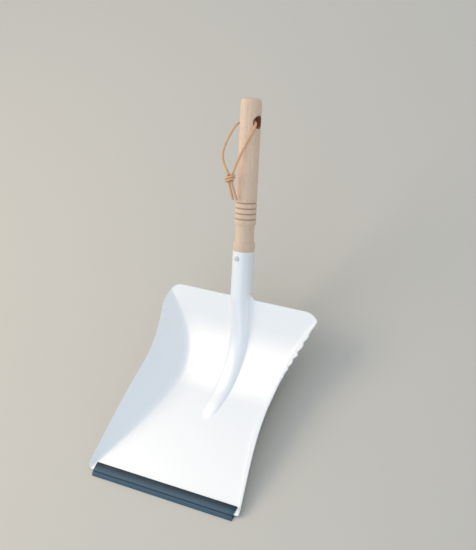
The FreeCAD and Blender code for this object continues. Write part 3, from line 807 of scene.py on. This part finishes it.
def roll_socket(obj):
    """Draws a tongue out of the rear edge and rolls it into the socket, seam underneath."""
    side = SOCKET_RADIUS * math.sin(ARCH_END)
    web_edge = SOCKET_RADIUS + WEB_RADIUS
    bpy.ops.object.mode_set(mode="EDIT")
    bpy.ops.mesh.select_mode(type="EDGE")
    shape = bmesh.from_edit_mesh(obj.data)
    select_edges(shape, lambda co: abs(height_on_handle(co)) < NEAR
                 and abs(co.x) < web_edge + NEAR)
    move = tuple(UP_HANDLE * WEB_RADIUS / WEB_COLUMNS)
    for _ in range(WEB_COLUMNS):
        bpy.ops.mesh.extrude_region_move(TRANSFORM_OT_translate={"value": move})
    shape = bmesh.from_edit_mesh(obj.data)
    for vertex in shape.verts:
        up, inward = height_on_handle(vertex.co), web_edge - abs(vertex.co.x)
        if up > NEAR and abs(vertex.co.x) > side + NEAR:
            kept = 1 - math.sqrt(max(1 - (min(inward, WEB_RADIUS) / WEB_RADIUS) ** 2, 0.0))
            vertex.co -= UP_HANDLE * up * (1 - max(kept, LEAST_WEB))
    select_edges(shape, lambda co: abs(height_on_handle(co) - WEB_RADIUS) < NEAR
                 and abs(co.x) < side + NEAR)
    bmesh.update_edit_mesh(obj.data)
    for step in SOCKET_STEPS:
        bpy.ops.mesh.extrude_region_move(
            TRANSFORM_OT_translate={"value": tuple(UP_HANDLE * step)})
    turns = [ARCH_END + (math.pi - ARCH_END - SEAM_HALF) * i / SEAM_STEPS
             for i in range(SEAM_STEPS + 1)]
    for turn in (1, -1):
        shape = bmesh.from_edit_mesh(obj.data)
        select_edges(shape, lambda co: abs(co.x - turn * side) < NEAR
                     and height_on_handle(co) > WEB_RADIUS - NEAR)
        bmesh.update_edit_mesh(obj.data)
        for start, end in zip(turns, turns[1:]):
            move = (ACROSS * turn * (math.sin(end) - math.sin(start))
                    + OFF_HANDLE * (math.cos(end) - math.cos(start))) * SOCKET_RADIUS
            bpy.ops.mesh.extrude_region_move(TRANSFORM_OT_translate={"value": tuple(move)})
    bpy.ops.mesh.select_all(action="SELECT")
    bpy.ops.mesh.remove_doubles(threshold=SAME_POINT)
    bpy.ops.mesh.normals_make_consistent(inside=False)
    bpy.ops.object.mode_set(mode="OBJECT")
    if sum(face.normal.z for face in obj.data.polygons if face.center.y < FLAT_Y) < 0:
        bpy.ops.object.mode_set(mode="EDIT")
        bpy.ops.mesh.select_all(action="SELECT")
        bpy.ops.mesh.flip_normals()
        bpy.ops.object.mode_set(mode="OBJECT")


def pressed_sheet(sizes):
    """The pressed sheet with its ridge, folds, walls, rounded corners and rolled socket."""
    rows = stations(sizes.nose_length)
    sides = [row_points(along, sizes) for along in rows]
    wide = len(sides[0]) - 1
    deselect_all()
    bpy.ops.mesh.primitive_grid_add(
        x_subdivisions=2 * wide, y_subdivisions=len(rows) - 1, size=2.0)
    obj = named("sheet")
    for vertex in obj.data.vertices:
        column = round((vertex.co.x + 1) * wide) - wide
        row = round((vertex.co.y + 1) / 2 * (len(rows) - 1))
        across, place = sides[row][abs(column)]
        vertex.co = place + ACROSS * math.copysign(across, column)
    obj.data.update()
    roll_socket(obj)
    add_modifier(obj, "SOLIDIFY", thickness=SHEET, offset=-1.0, use_even_offset=True)
    add_modifier(obj, "BEVEL", width=sizes.edge_softness, segments=3, limit_method="ANGLE",
                 angle_limit=math.radians(50))
    bpy.ops.object.mode_set(mode="EDIT")
    bpy.ops.mesh.select_all(action="SELECT")
    bpy.ops.mesh.remove_doubles(threshold=SAME_CORNER)
    bpy.ops.object.mode_set(mode="OBJECT")
    return obj


class DUSTPAN_OT_pan(bpy.types.Operator):
    """Press the pan with its ridge and walls, and roll its socket"""

    bl_idname = "dustpan.pan"
    bl_label = "Press Pan"

    def execute(self, context):
        pan = pressed_sheet(context.scene.dustpan_pan)
        pan.name = pan.data.name = "pressed_pan"
        finish_piece(pan, bpy.data.materials["white_enamel"], "dustpan")
        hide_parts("pan")
        return {"FINISHED"}


BEAD_SHARES = (0.03, 0.07, 0.13, 0.22, 0.35, 0.5, 0.65, 0.78, 0.87, 0.93, 0.97, 1.0)


def handle_outline(softness):
    """Half outline of the turned handle: (radius, height above the rim)."""
    grip, waist, bead = GRIP_RADIUS, WAIST_RADIUS, BEAD_RADIUS
    outline = [(TENON_RADIUS - 0.001, -TENON_LENGTH), (TENON_RADIUS, 0.001 - TENON_LENGTH),
               (TENON_RADIUS, 0.0), (0.0124, 0.0)]
    shoulder, proud, depth = 0.0119, 0.0004, 0.0014
    for step in range(9):
        angle = math.pi * (0.12 + 0.76 * step / 8)
        outline.append((shoulder + (bead - shoulder) * math.sin(angle) ** 0.7,
                        BEAD_LENGTH * step / 8 + 0.0001))
    outline += [(0.01175, 0.01085), (waist + 0.0002, 0.0114), (waist, 0.0122),
                (waist, WAIST_END), (waist + 0.0002, WAIST_END + 0.0007),
                (grip - 0.0006, WAIST_END + 0.0013)]
    lowest = WAIST_END + 0.0015
    for index in range(GROOVE_COUNT):
        top = GROOVE_FIRST + GROOVE_PITCH * index
        start = lowest + 0.0008 if index == 0 else lowest
        for share in BEAD_SHARES[0 if index else 3:]:
            dip = abs(2 * share - 1) ** 4
            outline.append((grip + proud - depth * dip, start + (top - start) * share))
        lowest = top
    outline += [(grip - 0.0006, lowest + 0.0004), (grip - 0.00015, lowest + 0.0009),
                (grip, lowest + 0.0009 + softness)]
    outline += [(grip, height) for height in (0.075, 0.1, 0.13, 0.15)]
    for step in range(13):
        angle = math.pi / 2 * step / 12
        outline.append((grip - END_ROUNDING * (1 - math.cos(angle)),
                        HANDLE_LENGTH - END_ROUNDING * (1 - math.sin(angle))))
    outline += [(0.0045, HANDLE_LENGTH), (0.0015, HANDLE_LENGTH)]
    return outline


def cross_bore():
    """The cutter of the cross hole, trumpet-shaped at both mouths."""
    shape = [(HOLE_MOUTH + 0.0016, -GRIP_RADIUS - 0.0015)]
    for step in range(9):
        share = step / 8
        widening = 1 - math.sin(math.pi / 2 * share)
        shape.append((HOLE_RADIUS + (HOLE_MOUTH - HOLE_RADIUS) * widening,
                      -GRIP_RADIUS + HOLE_FLARE * share))
    shape += [(radius, -height) for radius, height in reversed(shape)]
    cutter = turned("cross_bore", shape, 64)
    set_place(cutter, at_hole(0, 0, 0), ACROSS, UP_HANDLE)
    return cutter


class DUSTPAN_OT_handle(bpy.types.Operator):
    """Turn the beech handle with its bead, waist, grooves and cross hole"""

    bl_idname = "dustpan.handle"
    bl_label = "Turn Handle"

    def execute(self, context):
        sizes = context.scene.dustpan_handle
        handle = turned("turned_handle", handle_outline(sizes.groove_softness), sizes.sides)
        set_place(handle, at_handle(), UP_HANDLE)
        cut_with(handle, cross_bore())
        finish_piece(handle, bpy.data.materials["beech_wood"], "dustpan", 40)
        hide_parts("handle")
        return {"FINISHED"}


class DUSTPAN_OT_nail(bpy.types.Operator):
    """Turn the domed nail that holds the handle in the socket"""

    bl_idname = "dustpan.nail"
    bl_label = "Drive Nail"

    def execute(self, context):
        seat, dome = 0.00012, 0.00075
        outline = [(0.0003, -NAIL_LENGTH), (NAIL_SHANK, 0.0025 - NAIL_LENGTH),
                   (NAIL_SHANK, 0.0), (NAIL_SHANK, seat), (NAIL_HEAD - 0.0002, seat),
                   (NAIL_HEAD, seat + 0.0002), (NAIL_HEAD, seat + 0.0004)]
        outline += [(NAIL_HEAD * math.cos(angle) ** 0.8,
                     seat + 0.0004 + dome * math.sin(angle))
                    for angle in (0.3, 0.6, 0.9, 1.15, 1.35, 1.5)]
        nail = turned("nail", outline, 48)
        set_place(nail, at_handle(-NAIL_DOWN, 0, SOCKET_RADIUS), OFF_HANDLE)
        nail.name = nail.data.name = "domed_nail"
        finish_piece(nail, bpy.data.materials["zinc_nail"], "dustpan", 40)
        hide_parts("nail")
        return {"FINISHED"}


LIP_STEPS = 24
LIP_SLOT_END, LIP_SLOT = 0.00695, (0.00195, 0.00305)
# The lip's section from the front edge back: (distance from the front, height).
LIP_PROFILE = (
    (0.0001, 0.0), (LIP_DEPTH, 0.0), (LIP_DEPTH, LIP_SLOT[0]), (LIP_SLOT_END, LIP_SLOT[0]),
    (LIP_SLOT_END, LIP_SLOT[1]), (LIP_DEPTH, LIP_SLOT[1]), (LIP_DEPTH, 0.0043),
    (0.0170, 0.0047), (0.0162, 0.0049), (0.0140, 0.0049), (0.0100, 0.00445),
    (0.0061, 0.00395), (0.0054, 0.00365), (0.0050, 0.0031), (0.0047, 0.0030),
    (0.0043, 0.0031), (0.0039, 0.0031), (0.0030, 0.0028), (0.0006, 0.0010),
    (0.0001, 0.0007), (0.0, 0.0003))


class DUSTPAN_OT_rubber_lip(bpy.types.Operator):
    """Extrude the rubber lip along the pan's front edge"""

    bl_idname = "dustpan.rubber_lip"
    bl_label = "Extrude Rubber Lip"

    def execute(self, context):
        deselect_all()
        bpy.ops.mesh.primitive_circle_add(
            vertices=len(LIP_PROFILE), radius=0.01, fill_type="NGON")
        lip = named("lip")
        for vertex, (along, height) in zip(lip.data.vertices, LIP_PROFILE):
            vertex.co = (-RUBBER_HALF, along + TO_ORIGIN, height)
        bpy.ops.object.mode_set(mode="EDIT")
        bpy.ops.mesh.select_all(action="SELECT")
        for _ in range(LIP_STEPS):
            bpy.ops.mesh.extrude_region_move(
                TRANSFORM_OT_translate={"value": (2 * RUBBER_HALF / LIP_STEPS, 0, 0)})
        bpy.ops.mesh.select_all(action="SELECT")
        bpy.ops.mesh.normals_make_consistent(inside=False)
        bpy.ops.object.mode_set(mode="OBJECT")
        add_modifier(lip, "BEVEL", width=0.00022, segments=2, limit_method="ANGLE",
                     angle_limit=math.radians(35))
        lip.name = lip.data.name = "rubber_edge"
        finish_piece(lip, bpy.data.materials["lip_rubber"], "dustpan", 38)
        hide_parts("rubber_lip")
        return {"FINISHED"}


class DUSTPAN_OT_lace(bpy.types.Operator):
    """Lay the leather lace through the cross hole, with its knot and two loose ends"""

    bl_idname = "dustpan.lace"
    bl_label = "Tie Lace"

    def execute(self, context):
        sizes = context.scene.dustpan_lace
        leather = bpy.data.materials["natural_leather"]
        radius = sizes.diameter / 2
        loop = curve_piece("lace", [at_hole(*p) for p in LACE_ROUTE], radius, 14)
        loop.data.materials.append(leather)
        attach(loop, "hanging_lace")
        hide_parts("lace_loop")
        wraps = curve_piece("wraps", knot_route(sizes, radius), radius * 0.88, 16)
        knot = to_mesh(wraps, "overhand_knot")
        finish_piece(knot, leather, "hanging_lace", 60)
        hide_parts("lace_knot")
        for name, route in TAIL_ROUTES.items():
            tail = to_mesh(curve_piece(name, [at_hole(*p) for p in route], radius, 14), name)
            finish_piece(tail, leather, "hanging_lace", 60)
            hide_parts("lace_tails")
        return {"FINISHED"}


def knot_route(sizes, radius):
    """Control points of the wraps: a leaning coil that starts and ends inside the knot."""
    wide, half_height, deep = (half - radius for half in KNOT_HALVES)
    turns, per_turn, first_angle = sizes.knot_wraps, 10, 2.2
    count = int(turns * per_turn)
    points = []
    for step in range(count + 1):
        share = step / count
        angle = 2 * math.pi * turns * share + first_angle
        swell = 1.05 * (0.93 + 0.10 * math.sin(math.pi * share))
        inward = min(1.0, 0.45 + 4 * share, 0.45 + 4 * (1 - share))
        across = wide * swell * inward * math.cos(angle)
        off = deep * swell * inward * math.sin(angle)
        up = half_height * (1 - 2 * share) + math.tan(sizes.knot_tilt) * across
        moves = zip(KNOT_CENTRE, (across, up, off))
        points.append(at_hole(*(middle + move for middle, move in moves)))
    return points


SKY_COLOUR = (0.80, 0.90, 1.0, 1.0)
LIGHT_TARGET = Vector((0.0, -0.02, 0.06))
# Each light: direction from the object, distance, width and colour.
KEY_LIGHT = ((-0.70, -0.18, 0.76), 1.4, 1.2, (1.0, 0.81, 0.58))
FILL_LIGHT = ((0.10, -1.0, 0.50), 1.3, 0.7, (0.86, 0.94, 1.0))
CAMERA_PLACE = (1.14738, -0.74087, 1.3956)
CAMERA_FORWARD = Vector((-0.6005, 0.41507, -0.68346))
CAMERA_UP = Vector((-0.16445, 0.77235, 0.61354))


class DUSTPAN_OT_stage(bpy.types.Operator):
    """Lay the plain floor and set the lights and the camera"""

    bl_idname = "dustpan.stage"
    bl_label = "Set Stage"

    def execute(self, context):
        scene = context.scene
        settings = scene.dustpan_stage
        deselect_all()
        bpy.ops.mesh.primitive_plane_add(size=9.0, location=(0, 0, -0.0002))
        floor = named("floor")
        bpy.ops.object.transform_apply(location=True)
        floor.data.materials.append(floor_material(settings.floor))
        world = bpy.data.worlds.new("even_sky")
        world.use_nodes = True
        background = world.node_tree.nodes["Background"]
        background.inputs["Color"].default_value = SKY_COLOUR
        background.inputs["Strength"].default_value = settings.sky
        scene.world = world
        add_light("key", settings.key_power, *KEY_LIGHT)
        add_light("lip_fill", settings.fill_power, *FILL_LIGHT)
        add_camera(settings.focal_length)
        scene.view_settings.view_transform = "Standard"
        return {"FINISHED"}


def add_light(name, power, direction, distance, size, colour):
    """Large soft light, aimed at the object."""
    data = bpy.data.lights.new(name, "AREA")
    data.shape, data.size = "DISK", size
    data.energy, data.color = power, colour
    light = bpy.data.objects.new(name, data)
    light.location = LIGHT_TARGET + Vector(direction).normalized() * distance
    light.rotation_euler = (LIGHT_TARGET - light.location).to_track_quat("-Z", "Y").to_euler()
    bpy.context.scene.collection.objects.link(light)


def add_camera(focal_length):
    """Camera looking down the pan's right side, with the handle upright in its view."""
    data = bpy.data.cameras.new("camera")
    data.lens, data.sensor_width = focal_length, 36.0
    data.clip_start, data.clip_end = 0.05, 50.0
    camera = bpy.data.objects.new("camera", data)
    forward = CAMERA_FORWARD.normalized()
    right = forward.cross(CAMERA_UP).normalized()
    up = right.cross(forward)
    turn = Matrix((right, up, -forward)).transposed().to_4x4()
    camera.matrix_world = Matrix.Translation(CAMERA_PLACE) @ turn
    bpy.context.scene.collection.objects.link(camera)
    bpy.context.scene.camera = camera


class DUSTPAN_PT_panel(bpy.types.Panel):
    """Lists the pieces of the dustpan and their sizes"""

    bl_idname = "DUSTPAN_PT_panel"
    bl_label = "Dustpan"
    bl_space_type = "VIEW_3D"
    bl_region_type = "UI"
    bl_category = "Dustpan"

    def draw(self, context):
        for operator in OPERATORS:
            self.layout.operator(operator.bl_idname)
        for name in SETTINGS:
            group = getattr(context.scene, name)
            box = self.layout.box()
            for prop in group.bl_rna.properties:
                if not prop.is_readonly and prop.identifier != "name":
                    box.prop(group, prop.identifier)


OPERATORS = (DUSTPAN_OT_stage, DUSTPAN_OT_finishes, DUSTPAN_OT_lace, DUSTPAN_OT_pan,
             DUSTPAN_OT_handle, DUSTPAN_OT_nail, DUSTPAN_OT_rubber_lip)
SETTINGS = {"dustpan_pan": PanSizes, "dustpan_handle": HandleSizes, "dustpan_lace": LaceSizes,
            "dustpan_finishes": Finishes, "dustpan_stage": StageSettings}


def register():
    for cls in (*SETTINGS.values(), *OPERATORS, DUSTPAN_PT_panel):
        bpy.utils.register_class(cls)
    for name, cls in SETTINGS.items():
        setattr(bpy.types.Scene, name, PointerProperty(type=cls))


def unregister():
    for name in SETTINGS:
        delattr(bpy.types.Scene, name)
    for cls in reversed((*SETTINGS.values(), *OPERATORS, DUSTPAN_PT_panel)):
        bpy.utils.unregister_class(cls)


def main():
    register()
    bpy.ops.dustpan.stage()
    bpy.ops.dustpan.finishes()
    bpy.ops.dustpan.lace()
    bpy.ops.dustpan.pan()
    bpy.ops.dustpan.handle()
    bpy.ops.dustpan.nail()
    bpy.ops.dustpan.rubber_lip()


if __name__ == "__main__":
    main()
